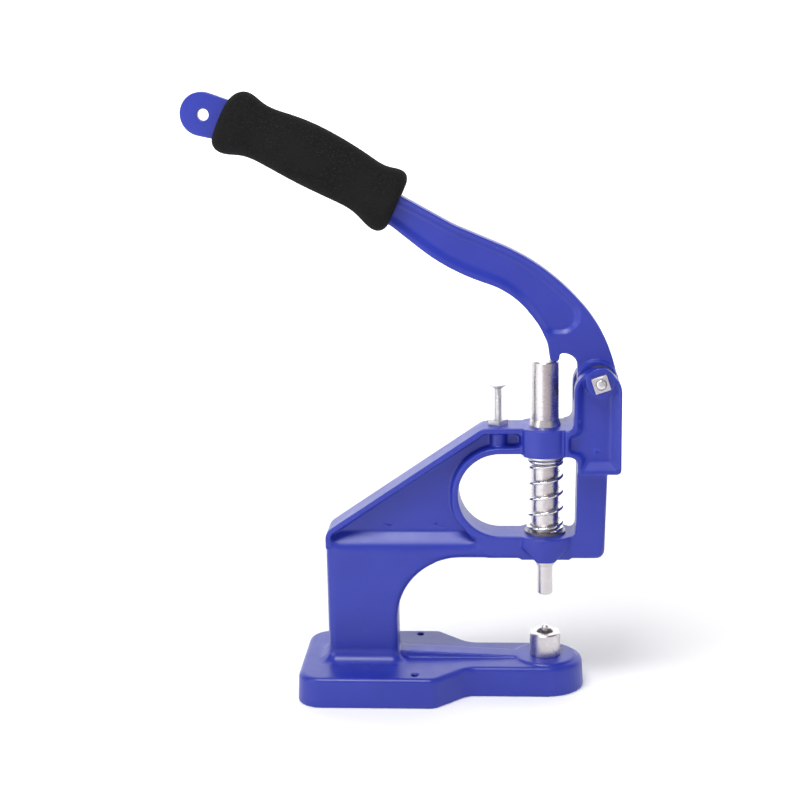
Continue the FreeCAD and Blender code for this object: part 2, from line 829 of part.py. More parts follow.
def ram():
    """Ground bar with a groove for the circlip and a threaded socket for the punch."""
    body = new_body("ram")
    radius = "ram_size / 2"
    groove_top = "circlip_low + circlip_thick"
    add_revolution(body, [
        (0, "ram_low + punch_shank_length"),
        ("punch_shank / 2", "ram_low + punch_shank_length"),
        ("punch_shank / 2", "ram_low"),
        (radius + " - 1", "ram_low"),
        (radius, "ram_low + 1"),
        (radius, "circlip_low"),
        ("ram_groove / 2", "circlip_low"),
        ("ram_groove / 2", groove_top),
        (radius, groove_top),
        (radius, "ram_top - 0.7"),
        (radius + " - 0.7", "ram_top"),
        (0, "ram_top"),
    ])
    return body


def ram_circlip():
    """Spring steel retaining ring in the ram's groove, open at the back."""
    body = ring("ram_circlip", "XY_Plane", "circlip_low", "circlip_low + circlip_thick", "circlip_size",
                "ram_groove")
    gap = add_outline(new_sketch(body, "XY_Plane", "circlip_low + circlip_thick"), [
        (-2.2, 4), (2.2, 4), (2.2, "circlip_size"), (-2.2, "circlip_size"),
    ])
    add_pocket(body, gap, "2 * circlip_thick")
    return body


def return_spring():
    """Right-handed open coil spring from the seat washer up to the washer under the circlip."""
    body = new_body("return_spring")
    low = "window_low + seat_washer_thick + wire_size / 2 + 0.02"
    high = "circlip_low - spring_washer_thick - wire_size / 2 - 0.02"
    wire = add_circle(new_sketch(body, "XZ_Plane"), "(coil_size - wire_size) / 2", low, "wire_size")
    coil = body.newObject("PartDesign::AdditiveHelix", "Helix")
    coil.Profile = wire
    coil.ReferenceAxis = (wire, ["V_Axis"])
    coil.Mode = "pitch-height-angle"
    bind(coil, "Pitch", "coil_pitch")
    bind(coil, "Height", "(%s) - (%s)" % (high, low))
    doc.recompute()
    return body


def punch():
    """Upper tool: threaded shank in the ram, thin collar, and a body hollowed for the die's pin."""
    body = new_body("punch")
    shank_top = "ram_low + punch_shank_length - 0.2"
    bore = "punch_bore / 2"
    bore_top = "punch_low + punch_bore_deep"
    add_revolution(body, [
        (0, shank_top),
        (0, bore_top),
        (bore, bore_top),
        (bore, "punch_low + 0.6"),
        (bore + " + 1", "punch_low"),
        ("punch_size / 2 - tool_edge", "punch_low"),
        ("punch_size / 2", "punch_low + tool_edge"),
        ("punch_size / 2", "punch_collar_low"),
        ("punch_collar / 2 - tool_edge", "punch_collar_low"),
        ("punch_collar / 2", "punch_collar_low + tool_edge"),
        ("punch_collar / 2", "ram_low"),
        ("punch_shank / 2", "ram_low"),
        ("punch_shank / 2", shank_top),
    ])
    return body


def lower_die():
    """Die with a cup for the snap, its shank in the foot's bore."""
    body = new_body("lower_die")
    seat = "foot_height + die_disc_height"
    add_revolution(body, [
        ("die_pin_size / 2", "die_shank_low"),
        ("die_shank / 2 - 0.5", "die_shank_low"),
        ("die_shank / 2", "die_shank_low + 0.5"),
        ("die_shank / 2", seat),
        ("die_size / 2 - 0.3", seat),
        ("die_size / 2", seat + " + 0.3"),
        ("die_size / 2", "die_top - 0.6"),
        ("die_size / 2 - 0.6", "die_top"),
        ("die_cup / 2 + 0.4", "die_top"),
        ("die_cup / 2", "die_top - 0.4"),
        ("die_cup / 2", "die_top - die_cup_deep"),
        ("die_pin_size / 2", "die_top - die_cup_deep"),
    ])
    return body


def die_pin():
    """Centre pin pressed into the die, standing above its rim."""
    body = new_body("die_pin")
    radius = "die_pin_size / 2"
    add_revolution(body, [
        (0, "die_shank_low + 1"),
        (radius, "die_shank_low + 1"),
        (radius, "die_pin_top - 0.7"),
        (radius + " - 0.7", "die_pin_top"),
        (0, "die_pin_top"),
    ])
    return body


def stop_screw():
    """Countersunk screw with a cross recess, head up, that the lever lands on."""
    body = new_body("stop_screw")
    head = "stop_head / 2"
    core = "stop_thread / 2"
    add_revolution(body, [
        (0, "stop_top - stop_length"),
        (core + " - 0.6", "stop_top - stop_length"),
        (core, "stop_top - stop_length + 0.6"),
        (core, "stop_top - stop_rim - stop_cone"),
        (head, "stop_top - stop_rim"),
        (head, "stop_top"),
        (0, "stop_top"),
    ])
    body.Placement = FreeCAD.Placement(Vector(value_of("stop_x"), 0, 0), FreeCAD.Rotation())
    cross = new_sketch(body, "XY_Plane", "stop_top")
    reach = SIZES["stop_head"] * 0.27
    half = 0.55
    add_outline(cross, [
        (half, -reach), (half, -half), (reach, -half), (reach, half), (half, half), (half, reach),
        (-half, reach), (-half, half), (-reach, half), (-reach, -half), (-half, -half), (-half, -reach),
    ])
    add_pocket(body, cross, 1.2)
    return body


def guide_ring():
    """Tapered steel ring round the ram, seated on the upper boss."""
    body = new_body("guide_ring")
    add_revolution(body, [
        ("guide_bore / 2", "arm_top"),
        ("guide_ring_size / 2", "arm_top"),
        ("guide_ring_top / 2", "arm_top + guide_ring_height"),
        ("guide_bore / 2", "arm_top + guide_ring_height"),
    ])
    return body


def stop_nut():
    """Square nut that locks the stop screw on the arm, one corner nearly to the front."""
    body = new_body("stop_nut")
    sketch = new_sketch(body, "XY_Plane", "arm_top")
    add_regular(sketch, 4, "stop_nut_flats", SIZES["stop_nut_turn"], "stop_x", 0)
    add_circle(sketch, "stop_x", 0, "stop_thread + push_fit")
    add_pad(body, sketch, "stop_nut_thick")
    return body


def washers_and_bush():
    pivot = ("pivot_x", "pivot_z")
    washer_end = "-(pivot_boss_face + pivot_washer_thick)"
    shim_near = "hub_half + 0.05"
    shim_far = "slot_half - 0.05"
    return [
        ring("pivot_washer", "XZ_Plane", washer_end, "-pivot_boss_face", "pivot_washer_size",
             "pivot_size + 0.4", *pivot),
        ring("lever_bush", "XZ_Plane", "-hub_half", "hub_half", "bush_size",
             "pivot_size + push_fit", *pivot),
        ring("shim_front", "XZ_Plane", shim_near, shim_far, "shim_size", "pivot_size + 0.3", *pivot),
        ring("shim_rear", "XZ_Plane", "-(%s)" % shim_far, "-(%s)" % shim_near, "shim_size",
             "pivot_size + 0.3", *pivot),
        ring("spring_washer_upper", "XY_Plane", "circlip_low - spring_washer_thick", "circlip_low",
             "spring_washer_size", "ram_size + 0.2"),
        ring("spring_seat_washer", "XY_Plane", "window_low", "window_low + seat_washer_thick",
             "seat_washer_size", "ram_size + 0.6"),
    ]


def check_document():
    """Stop if any object failed, or any sub-part has no sound shape."""
    doc.recompute()
    for obj in doc.Objects:
        if "Invalid" in obj.State or "Error" in obj.State:
            raise RuntimeError("%s (%s) failed: %s" % (obj.Name, obj.Label, obj.State))
    for piece in PIECES:
        if piece.Shape.isNull() or not piece.Shape.isValid() or not piece.Shape.Solids:
            raise RuntimeError("%s has no sound shape" % piece.Label)


PIECES = [
    frame_casting(),
    lever(),
    lever_grip(),
    pivot_bolt(),
    pivot_nut(),
    ram(),
    ram_circlip(),
    return_spring(),
    punch(),
    lower_die(),
    die_pin(),
    stop_screw(),
    stop_nut(),
    guide_ring(),
] + washers_and_bush()

check_document()
os.makedirs("parts", exist_ok=True)
for piece in PIECES:
    piece.Shape.exportStep("parts/%s.step" % piece.Label)
    solids = len(piece.Shape.Solids)
    print("%-22s solids %d  volume %.0f mm3" % (piece.Label, solids, piece.Shape.Volume))
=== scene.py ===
"""Looks of the bench hand press: cast surfaces, foam grip, coiled spring, threads, materials and studio."""
import json
import math

import bmesh
import bpy
from mathutils import Matrix, Vector


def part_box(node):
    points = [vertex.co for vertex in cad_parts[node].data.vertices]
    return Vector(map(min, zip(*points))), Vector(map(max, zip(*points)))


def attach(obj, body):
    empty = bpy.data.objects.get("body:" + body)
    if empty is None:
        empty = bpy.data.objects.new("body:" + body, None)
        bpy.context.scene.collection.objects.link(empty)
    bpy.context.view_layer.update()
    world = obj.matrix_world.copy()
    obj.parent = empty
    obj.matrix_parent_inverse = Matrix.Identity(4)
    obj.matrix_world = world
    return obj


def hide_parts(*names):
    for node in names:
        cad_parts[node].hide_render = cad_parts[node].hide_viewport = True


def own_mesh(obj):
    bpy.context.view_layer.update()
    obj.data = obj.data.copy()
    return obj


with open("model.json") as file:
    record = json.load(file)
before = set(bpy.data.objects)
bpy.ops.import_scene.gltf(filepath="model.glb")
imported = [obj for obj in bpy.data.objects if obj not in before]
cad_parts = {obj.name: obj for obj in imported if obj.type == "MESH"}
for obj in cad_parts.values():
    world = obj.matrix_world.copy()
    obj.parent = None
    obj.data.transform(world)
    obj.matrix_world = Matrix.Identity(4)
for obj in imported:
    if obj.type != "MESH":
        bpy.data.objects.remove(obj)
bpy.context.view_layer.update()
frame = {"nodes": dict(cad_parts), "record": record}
MM = 0.001


# ---------------------------------------------------------------- materials

def value_ramp(tree, source, start, end, at_start, at_end, shape="LINEAR"):
    """A number that goes from at_start to at_end as the source goes from start to end."""
    node = tree.nodes.new("ShaderNodeMapRange")
    node.interpolation_type = shape
    for name, number in (("From Min", start), ("From Max", end), ("To Min", at_start), ("To Max", at_end)):
        node.inputs[name].default_value = number
    tree.links.new(source, node.inputs["Value"])
    return node.outputs["Result"]


def colour_mix(tree, share, first, second):
    """Blend two colours by a share. Each colour is three numbers or a socket."""
    node = tree.nodes.new("ShaderNodeMix")
    node.data_type = "RGBA"
    tree.links.new(share, node.inputs["Factor"])
    for name, colour in (("A", first), ("B", second)):
        socket = next(s for s in node.inputs if s.name == name and s.type == "RGBA")
        if isinstance(colour, tuple):
            socket.default_value = (*colour, 1.0)
        else:
            tree.links.new(colour, socket)
    return next(s for s in node.outputs if s.type == "RGBA")


def coordinate(tree, space, axis):
    """One coordinate of the shaded point, in the named space."""
    parts = tree.nodes.new("ShaderNodeSeparateXYZ")
    tree.links.new(tree.nodes.new("ShaderNodeTexCoord").outputs[space], parts.inputs["Vector"])
    return parts.outputs[axis]


class Finish:
    """A procedural material. Sizes of its patterns are in millimetres of the object's surface."""

    def __init__(self, name, colour, roughness, metallic=0.0):
        self.material = bpy.data.materials.new(name)
        self.material.use_nodes = True
        self.tree = self.material.node_tree
        self.tree.nodes.clear()
        self.shader = self.add("ShaderNodeBsdfPrincipled")
        output = self.add("ShaderNodeOutputMaterial")
        self.join(self.shader.outputs["BSDF"], output.inputs["Surface"])
        self.place = self.add("ShaderNodeTexCoord").outputs["Object"]
        self.set("Base Color", (*colour, 1.0))
        self.set("Metallic", metallic)
        self.set("Roughness", roughness)
        self.normal = None

    def add(self, kind):
        return self.tree.nodes.new(kind)

    def join(self, source, target):
        self.tree.links.new(source, target)

    def set(self, socket, value):
        self.shader.inputs[socket].default_value = value

    def noise(self, size, detail, stretch=(1, 1, 1)):
        """Noise whose lumps are about size millimetres across, stretched along the axes."""
        mapping = self.add("ShaderNodeMapping")
        mapping.inputs["Scale"].default_value = [1.0 / s for s in stretch]
        self.join(self.place, mapping.inputs["Vector"])
        noise = self.add("ShaderNodeTexNoise")
        noise.inputs["Scale"].default_value = 1.0 / (size * MM)
        noise.inputs["Detail"].default_value = detail
        self.join(mapping.outputs["Vector"], noise.inputs["Vector"])
        return noise.outputs["Fac"]

    def spread(self, value, low, high, to_low=0.0, to_high=1.0):
        """Map low..high of a value smoothly to to_low..to_high."""
        return value_ramp(self.tree, value, low, high, to_low, to_high, "SMOOTHSTEP")

    def mix(self, share, first, second):
        """Blend two colours, or a colour socket and a colour."""
        return colour_mix(self.tree, share, first, second)

    def colour(self, source):
        self.join(source, self.shader.inputs["Base Color"])

    def roughness(self, source):
        self.join(source, self.shader.inputs["Roughness"])

    def bump(self, value, depth, strength):
        """Stack a bump of about depth millimetres on those already there."""
        node = self.add("ShaderNodeBump")
        node.inputs["Distance"].default_value = depth * MM
        node.inputs["Strength"].default_value = strength
        self.join(value, node.inputs["Height"])
        if self.normal:
            self.join(self.normal, node.inputs["Normal"])
        self.normal = node.outputs["Normal"]
        self.join(self.normal, self.shader.inputs["Normal"])

    def edges(self, low, high):
        """How sharply the surface turns outwards, from 0 on flats to 1 on edges."""
        return self.spread(self.add("ShaderNodeNewGeometry").outputs["Pointiness"], low, high)


def blue_paint():
    """Semi-gloss enamel over a fine sand casting, with a painted highlight that makes it a little lighter
    on its edges.
    """
    finish = Finish("blue_paint", (0.020, 0.031, 0.325), roughness=0.34)
    patchy = finish.spread(finish.noise(28, 2), 0.3, 0.7)
    body = finish.mix(patchy, (0.015, 0.028, 0.325), (0.018, 0.032, 0.350))
    # Painted highlight: convex edges get a lighter, bluer colour that stands in for light catching them.
    painted_edge_highlight = finish.edges(0.56, 0.66)
    finish.colour(finish.mix(painted_edge_highlight, body, (0.050, 0.068, 0.450)))
    finish.roughness(finish.spread(finish.noise(9, 2), 0.2, 0.8, 0.31, 0.38))
    finish.bump(finish.noise(9, 2), 0.06, 0.3)
    finish.bump(finish.noise(1.1, 3), 0.02, 0.4)
    finish.set("Specular IOR Level", 0.5)
    return finish.material


def black_foam():
    """Closed-cell foam: matt black with fine open cells and a trace of dust."""
    finish = Finish("black_foam", (0.012, 0.012, 0.013), roughness=0.95)
    cells = finish.noise(0.7, 4)
    dusty = finish.spread(cells, 0.50, 0.72)
    base = finish.mix(dusty, (0.0065, 0.0065, 0.007), (0.024, 0.024, 0.025))
    pressed = finish.spread(finish.noise(18, 2), 0.35, 0.75)
    finish.colour(finish.mix(pressed, base, (0.010, 0.010, 0.0105)))
    finish.roughness(finish.spread(cells, 0.3, 0.7, 0.88, 1.0))
    finish.bump(finish.noise(6, 2), 0.25, 0.4)
    finish.bump(cells, 0.30, 0.8)
    finish.set("Specular IOR Level", 0.15)
    return finish.material


def steel(name, colour, roughness, grain, stretch, depth):
    """Metal with a turned, drawn or plated grain: lumps of grain millimetres stretched along the axes."""
    finish = Finish(name, colour, metallic=1.0, roughness=roughness)
    lines = finish.noise(grain, 3, stretch)
    clouds = finish.noise(5, 3)
    dull = tuple(c * 0.92 for c in colour)
    finish.colour(finish.mix(finish.spread(clouds, 0.35, 0.75), colour, dull))
    finish.roughness(finish.spread(lines, 0.3, 0.7, roughness * 0.88, roughness * 1.15))
    finish.bump(lines, depth, 0.6)
    return finish.material


def all_finishes():
    """The material of each slot, by name."""
    flat_turned, even = (12, 12, 0.6), (1, 1, 1)
    # Name, colour, roughness, size of the grain in mm, its stretch along the axes, its depth in mm.
    metals = [
        ("nickel", (0.66, 0.63, 0.64), 0.30, 0.35, flat_turned, 0.0015),
        ("zinc_plate", (0.76, 0.76, 0.78), 0.36, 0.5, even, 0.004),
        ("spring_steel", (0.84, 0.83, 0.83), 0.16, 0.3, (4, 4, 1), 0.003),
        ("dark_steel", (0.32, 0.31, 0.33), 0.38, 0.4, flat_turned, 0.006),
        ("bronze", (0.60, 0.40, 0.19), 0.30, 0.4, (6, 0.8, 6), 0.006),
    ]
    finishes = {"blue_paint": blue_paint(), "black_foam": black_foam()}
    finishes.update((metal[0], steel(*metal)) for metal in metals)
    return finishes


FINISHES = all_finishes()


# ---------------------------------------------------------------- mesh helpers

NUT_POINTS = 96


def skin(name, rings, loop=False):
    """A closed mesh over rings of points, capped at both ends or joined end to end."""
    count = len(rings[0])
    faces = []
    pairs = list(zip(range(len(rings) - 1), range(1, len(rings))))
    if loop:
        pairs.append((len(rings) - 1, 0))
    for low, high in pairs:
        for i in range(count):
            j = (i + 1) % count
            faces.append((low * count + i, low * count + j, high * count + j, high * count + i))
    if not loop:
        last = (len(rings) - 1) * count
        faces.append(tuple(reversed(range(count))))
        faces.append(tuple(range(last, last + count)))
    mesh = bpy.data.meshes.new(name)
    mesh.from_pydata([point for ring in rings for point in ring], [], faces)
    work = bmesh.new()
    work.from_mesh(mesh)
    bmesh.ops.recalc_face_normals(work, faces=work.faces)
    work.to_mesh(mesh)
    work.free()
    return mesh


def shade(mesh, sharp_degrees):
    """Smooth shading that keeps the edges that turn more sharply."""
    mesh.shade_smooth()
    mesh.set_sharp_from_angle(angle=math.radians(sharp_degrees))
    return mesh


def circle(radius, height, count):
    """A ring of points about Z."""
    turns = [2 * math.pi * i / count for i in range(count)]
    return [Vector((radius * math.cos(a), radius * math.sin(a), height)) for a in turns]


def polygon_reach(angle, sides, flats, turn):
    """Distance from the centre of a regular polygon to its side, at one angle."""
    part = 2 * math.pi / sides
    off = (angle - turn + part / 2) % part - part / 2
    return flats / 2 / math.cos(off)


def nut_rings(sides, flats, low, high, turn, face, slope):
    """The outside of a nut or bolt head, whose top face falls away at a slope beyond a radius."""
    angles = [2 * math.pi * i / NUT_POINTS for i in range(NUT_POINTS)]
    reaches = [polygon_reach(a, sides, flats, turn) for a in angles]
    edge = 0.12 * MM

    def ring(inset, height):
        return [Vector((math.cos(a) * (r - inset), math.sin(a) * (r - inset), height(r - inset)))
                for a, r in zip(angles, reaches)]

    def drop(reach):
        return high - max(0.0, reach - face) * slope

    return [
        ring(edge, lambda r: low),
        ring(0, lambda r: low + edge),
        ring(0, lambda r: drop(r) - edge),
        ring(edge, drop),
        circle(face - edge, high, NUT_POINTS),
    ]


def thread_rings(radius, pitch, low, high, count):
    """A rod with a right-handed V thread that fades out at both ends."""
    depth, crest_width, flank_slope, end_share, steps = 0.55 * pitch, 1.2, 1.3, 0.9, 8
    rings = []
    total = int((high - low) / pitch * steps)
    for k in range(total + 1):
        height = low + (high - low) * k / total
        fade = min(1.0, (high - height) / pitch, (height - low) / pitch)
        ring = []
        for i in range(count):
            phase = (height / pitch - i / count) % 1.0
            crest = min(1.0, max(0.0, crest_width - abs(2 * phase - 1) * flank_slope))
            reach = radius - depth * (1 - crest) * fade - depth * end_share * (1 - fade)
            angle = 2 * math.pi * i / count
            ring.append(Vector((reach * math.cos(angle), reach * math.sin(angle), height)))
        rings.append(ring)
    return rings


def add_piece(name, mesh, body, finish, replaced, place=None):
    """Put a mesh in the scene, on a body, with a finish, for the CAD nodes it stands for."""
    if place:
        mesh.transform(place)
    piece = bpy.data.objects.new(name, mesh)
    bpy.context.scene.collection.objects.link(piece)
    mesh.materials.clear()
    mesh.materials.append(FINISHES[finish])
    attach(piece, body)
    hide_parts(*replaced)
    return piece


def modified(mesh, steps):
    """The mesh after a list of (modifier kind, settings)."""
    piece = bpy.data.objects.new("work", mesh)
    bpy.context.scene.collection.objects.link(piece)
    for kind, settings in steps:
        modifier = piece.modifiers.new(kind.lower(), kind)
        for key, value in settings.items():
            setattr(modifier, key, value)
    graph = bpy.context.evaluated_depsgraph_get()
    result = bpy.data.meshes.new_from_object(piece.evaluated_get(graph))
    bpy.data.objects.remove(piece)
    return result


def centre(node):
    """The middle of a CAD node's box."""
    low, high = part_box(node)
    return (low + high) / 2


# ---------------------------------------------------------------- castings

WELD = 0.002 * MM
SMOOTHING = 0.5
EXTRA_ROUNDS = 120
FINAL_ROUNDS = 2
WEB_HALF = 11.5
# Boxes, in millimetres, round the edges of the ledge under the web on its two faces.
LEDGE_EDGES = [((-128, side - 3.5, 78), (-34, side + 3.5, 95)) for side in (-WEB_HALF, WEB_HALF)]


def soften(mesh, low, high, rounds):
    """Round the part of a mesh inside a box, in millimetres, further across its length."""
    work = bmesh.new()
    work.from_mesh(mesh)
    inside = [v for v in work.verts if all(a <= c / MM <= b for a, c, b in zip(low, v.co, high))]
    for _ in range(rounds):
        bmesh.ops.smooth_vert(work, verts=inside, factor=SMOOTHING, use_axis_y=True, use_axis_z=True)
    work.to_mesh(mesh)
    work.free()


def soft_casting(node, name, body, voxel, rounds, keep, softer=()):
    """The casting with the rounded edges and filled corners of poured and painted iron.

    voxel is in millimetres, rounds are rounds of smoothing, keep is the share of triangles kept, and
    softer lists boxes whose edges are rounded further.
    """
    source = frame["nodes"][node].data.copy()
    work = bmesh.new()
    work.from_mesh(source)
    bmesh.ops.remove_doubles(work, verts=work.verts, dist=WELD)
    work.to_mesh(source)
    work.free()
    mesh = modified(source, [
        ("REMESH", {"mode": "VOXEL", "voxel_size": voxel * MM}),
        ("SMOOTH", {"factor": SMOOTHING, "iterations": rounds}),
    ])
    for low, high in softer:
        soften(mesh, low, high, EXTRA_ROUNDS)
    mesh = modified(mesh, [
        ("DECIMATE", {"ratio": keep}),
        ("SMOOTH", {"factor": SMOOTHING, "iterations": FINAL_ROUNDS}),
    ])
    mesh.name = name
    mesh.shade_smooth()
    add_piece(name, mesh, body, "blue_paint", [node])


# ---------------------------------------------------------------- foam grip

GRIP_START = Vector((-182.0, 0, 336.5)) * MM
GRIP_END = Vector((-84.0, 0, 291.0)) * MM
# Half the sleeve's width in mm: a share of its height less a little, up to a most.
GRIP_SIDE_SHARE = 0.42
GRIP_SIDE_LESS = 0.4
GRIP_SIDE_MOST = 14.2


def grip_profile():
    """Rings of the sleeve from its outer end, in mm: distance along, lower and upper reach."""
    return [
        (-0.6, -8.6, 8.9),
        (-1.0, -10.8, 11.6),
        (0.0, -13.6, 15.4),
        (2.6, -15.8, 19.2),
        (6.4, -16.6, 21.3),
        (11.0, -15.6, 21.2),
        (16.5, -13.2, 19.2),
        (23.0, -12.0, 18.2),
        (32.0, -12.6, 19.3),
        (42.0, -13.5, 20.4),
        (54.0, -14.4, 20.4),
        (66.0, -14.7, 19.4),
        (76.0, -14.8, 18.1),
        (84.5, -15.0, 16.7),
        (91.0, -16.6, 15.3),
        (96.5, -19.2, 15.2),
        (101.5, -20.9, 16.6),
        (105.8, -20.6, 16.8),
        (108.6, -18.2, 14.8),
        (109.8, -14.6, 11.2),
        (109.6, -11.6, 8.2),
    ]


def oval(middle, across, low, high, half, count):
    """A rounded ring between low and high along one direction, and half to each side along Y."""
    power = 2.3
    ring = []
    side = Vector((0, 1, 0))
    for i in range(count):
        angle = 2 * math.pi * i / count
        c, s = math.cos(angle), math.sin(angle)
        size = (abs(c) ** power + abs(s) ** power) ** (-1 / power)
        reach = (high + low) / 2 + (high - low) / 2 * s * size
        ring.append(middle + across * reach + side * (half * c * size))
    return ring


def foam_grip():
    """Foam sleeve with flared, rounded ends, each closed by a slightly sunken cap."""
    along = (GRIP_END - GRIP_START).normalized()
    across = Vector((-along.z, 0, along.x))
    count = 72
    rings = []
    for s, low, high in grip_profile():
        half = min(GRIP_SIDE_SHARE * (high - low) - GRIP_SIDE_LESS, GRIP_SIDE_MOST)
        middle = GRIP_START + along * (s * MM)
        rings.append(oval(middle, across, low * MM, high * MM, half * MM, count))
    mesh = skin("foam_grip", rings)
    mesh = modified(mesh, [("SUBSURF", {"levels": 2, "render_levels": 2})])
    mesh.shade_smooth()
    piece = add_piece("foam_grip", mesh, "lever", "black_foam", ["lever_grip"])


# ---------------------------------------------------------------- return spring

SPRING_WIRE = 1.9 * MM
SPRING_OUTSIDE = 21.6 * MM
SPRING_TURNS = 6.2
SPRING_START_DEGREES = -74
SPRING_CLOSED_STEP = 2.0 * MM
SPRING_OPENS = (0.78, 1.12)
SPRING_CLOSES = (4.8, 5.15)


def smooth_step(low, high, value):
    """0 up to low, 1 from high on, and smooth between."""
    share = min(1.0, max(0.0, (value - low) / (high - low)))
    return share * share * (3 - 2 * share)


def spring_heights(low, high, steps):
    """Height of the wire at equal steps of turn: closed end turns and open middle turns."""
    opening = []
    for k in range(steps):
        turn = SPRING_TURNS * k / (steps - 1)
        opening.append(smooth_step(*SPRING_OPENS, turn) * (1 - smooth_step(*SPRING_CLOSES, turn)))
    step = SPRING_TURNS / (steps - 1)
    left = (high - low) - SPRING_CLOSED_STEP * SPRING_TURNS
    extra = left / (sum(opening) * step)
    heights = [low]
    for share in opening[:-1]:
        heights.append(heights[-1] + (SPRING_CLOSED_STEP + extra * share) * step)
    return heights


def return_spring():
    """Right-handed wire spring with closed ends, between the seat washer and the upper washer."""
    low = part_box("spring_seat_washer")[1].z + SPRING_WIRE / 2
    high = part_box("spring_washer_upper")[0].z - SPRING_WIRE / 2
    radius = (SPRING_OUTSIDE - SPRING_WIRE) / 2
    steps, around, tip_share = 420, 16, 0.86
    heights = spring_heights(low, high, steps)
    rings = []
    for k, height in enumerate(heights):
        angle = math.radians(SPRING_START_DEGREES) + 2 * math.pi * SPRING_TURNS * k / (steps - 1)
        out = Vector((math.cos(angle), math.sin(angle), 0))
        up = Vector((0, 0, 1))
        tip = min(k, steps - 1 - k)
        thick = SPRING_WIRE / 2 * (tip_share if tip == 0 else 1.0)
        middle = out * radius + up * height
        rings.append([middle + (out * math.cos(a) + up * math.sin(a)) * thick
                      for a in (2 * math.pi * i / around for i in range(around))])
    mesh = shade(skin("coiled_spring", rings), sharp_degrees=50)
    piece = add_piece("coiled_spring", mesh, "root", "spring_steel", ["return_spring"])
    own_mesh(piece)


# ---------------------------------------------------------------- fasteners

def drilled(outside, hole, low, high):
    """Close a nut's rings through its hole."""
    edge = 0.35 * MM
    inside = [
        circle(hole + edge, high, NUT_POINTS),
        circle(hole, high - edge, NUT_POINTS),
        circle(hole, low + edge, NUT_POINTS),
        circle(hole + edge, low, NUT_POINTS),
    ]
    return skin("nut", outside + inside, loop=True)


def along_y(x, z):
    """Place for a piece made along Z whose top faces the front."""
    return Matrix.Translation((x, 0, z)) @ Matrix.Rotation(math.radians(90), 4, "X")


def pivot_fasteners():
    """Hexagon bolt with a threaded, domed end, and the square nut on it."""
    radius, pitch, thread_behind_nut = 3.0 * MM, 1.0 * MM, 6.0 * MM
    dome, dome_share = 0.8 * MM, 0.88
    nut_flats, nut_face, nut_slope, nut_turn = 9.0 * MM, 4.4 * MM, 0.06, math.radians(18)
    head_flats, head_face, head_slope, head_thick = 10.0 * MM, 4.8 * MM, 0.5, 4.0 * MM

    pivot = centre("pivot_nut")
    place = along_y(pivot.x, pivot.z)
    nut_low, nut_high = -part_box("pivot_nut")[1].y, -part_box("pivot_nut")[0].y
    outside = nut_rings(4, nut_flats, nut_low, nut_high, nut_turn, nut_face, nut_slope)
    nut = shade(drilled(outside, radius, nut_low, nut_high), sharp_degrees=30)
    add_piece("square_nut", nut, "root", "zinc_plate", ["pivot_nut"], place)

    bolt_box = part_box("pivot_bolt")
    head_out, tip = -bolt_box[1].y, -bolt_box[0].y
    head_in = head_out + head_thick
    head = nut_rings(6, head_flats, -head_in, -head_out, 0, head_face, head_slope)
    head = [[Vector((p.x, -p.y, -p.z)) for p in ring] for ring in head]
    plain_to = nut_low - thread_behind_nut
    shank = [circle(radius, head_in, NUT_POINTS), circle(radius, plain_to, NUT_POINTS)]
    thread = thread_rings(radius, pitch, plain_to, tip - dome, NUT_POINTS)
    end = [circle(dome_share * radius * math.cos(a), tip - dome + dome * math.sin(a), NUT_POINTS)
           for a in (math.radians(12 * i) for i in range(1, 8))]
    mesh = shade(skin("hex_bolt", list(reversed(head)) + shank + thread + end), sharp_degrees=40)
    add_piece("hex_bolt", mesh, "root", "zinc_plate", ["pivot_bolt"], place)


def stop_fasteners():
    """Threaded countersunk stop screw with a cross recess, and its square lock nut."""
    radius, pitch, play = 2.5 * MM, 0.8 * MM, 0.03 * MM
    rim_thick, cone_height, edge, bevel = 0.4 * MM, 1.9 * MM, 0.15 * MM, 0.12 * MM
    runout, neck, neck_share = 0.5 * MM, 0.4 * MM, 0.9
    nut_flats, nut_face, nut_slope, nut_turn = 8.4 * MM, 4.1 * MM, 0.15, math.radians(50)
    count = 48

    place = Matrix.Translation((centre("stop_nut").x, 0, 0))
    low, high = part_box("stop_screw")[0].z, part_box("stop_screw")[1].z
    head = (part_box("stop_screw")[1].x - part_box("stop_screw")[0].x) / 2
    rim = high - rim_thick
    cone = rim - cone_height
    rings = thread_rings(radius, pitch, low, cone - runout, count)
    rings += [
        circle(radius * neck_share, cone - neck, count),
        circle(radius, cone, count),
        circle(head - edge, rim - bevel, count),
        circle(head, rim, count),
        circle(head, high - bevel, count),
        circle(head - edge, high, count),
    ]
    screw = skin("stop_screw_threaded", rings)
    cutter = cross_cutter(high)
    cut = modified(screw, [("BOOLEAN", {"operation": "DIFFERENCE", "solver": "EXACT", "object": cutter})])
    bpy.data.objects.remove(cutter)
    cut.name = "stop_screw_threaded"
    cut = shade(cut, sharp_degrees=30)
    add_piece("stop_screw_threaded", cut, "stop_screw", "zinc_plate", ["stop_screw"], place)

    nut_low, nut_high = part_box("stop_nut")[0].z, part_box("stop_nut")[1].z
    outside = nut_rings(4, nut_flats, nut_low, nut_high, nut_turn, nut_face, nut_slope)
    nut = shade(drilled(outside, radius + play, nut_low, nut_high), sharp_degrees=30)
    add_piece("lock_nut", nut, "root", "zinc_plate", ["stop_nut"], place)


def cross_cutter(top):
    """A tapered cross, to cut the driver's recess in a screw's head."""
    wide, arm, deep, above, foot_share = 0.55 * MM, 2.5 * MM, 1.5 * MM, 0.1 * MM, 0.45
    outline = [(wide, -arm), (wide, -wide), (arm, -wide), (arm, wide), (wide, wide), (wide, arm),
               (-wide, arm), (-wide, wide), (-arm, wide), (-arm, -wide), (-wide, -wide), (-wide, -arm)]
    rings = [[Vector((x * share, y * share, height)) for x, y in outline]
             for share, height in ((foot_share, top - deep), (1.0, top + above))]
    cutter = bpy.data.objects.new("cutter", skin("cutter", rings))
    bpy.context.scene.collection.objects.link(cutter)
    return cutter


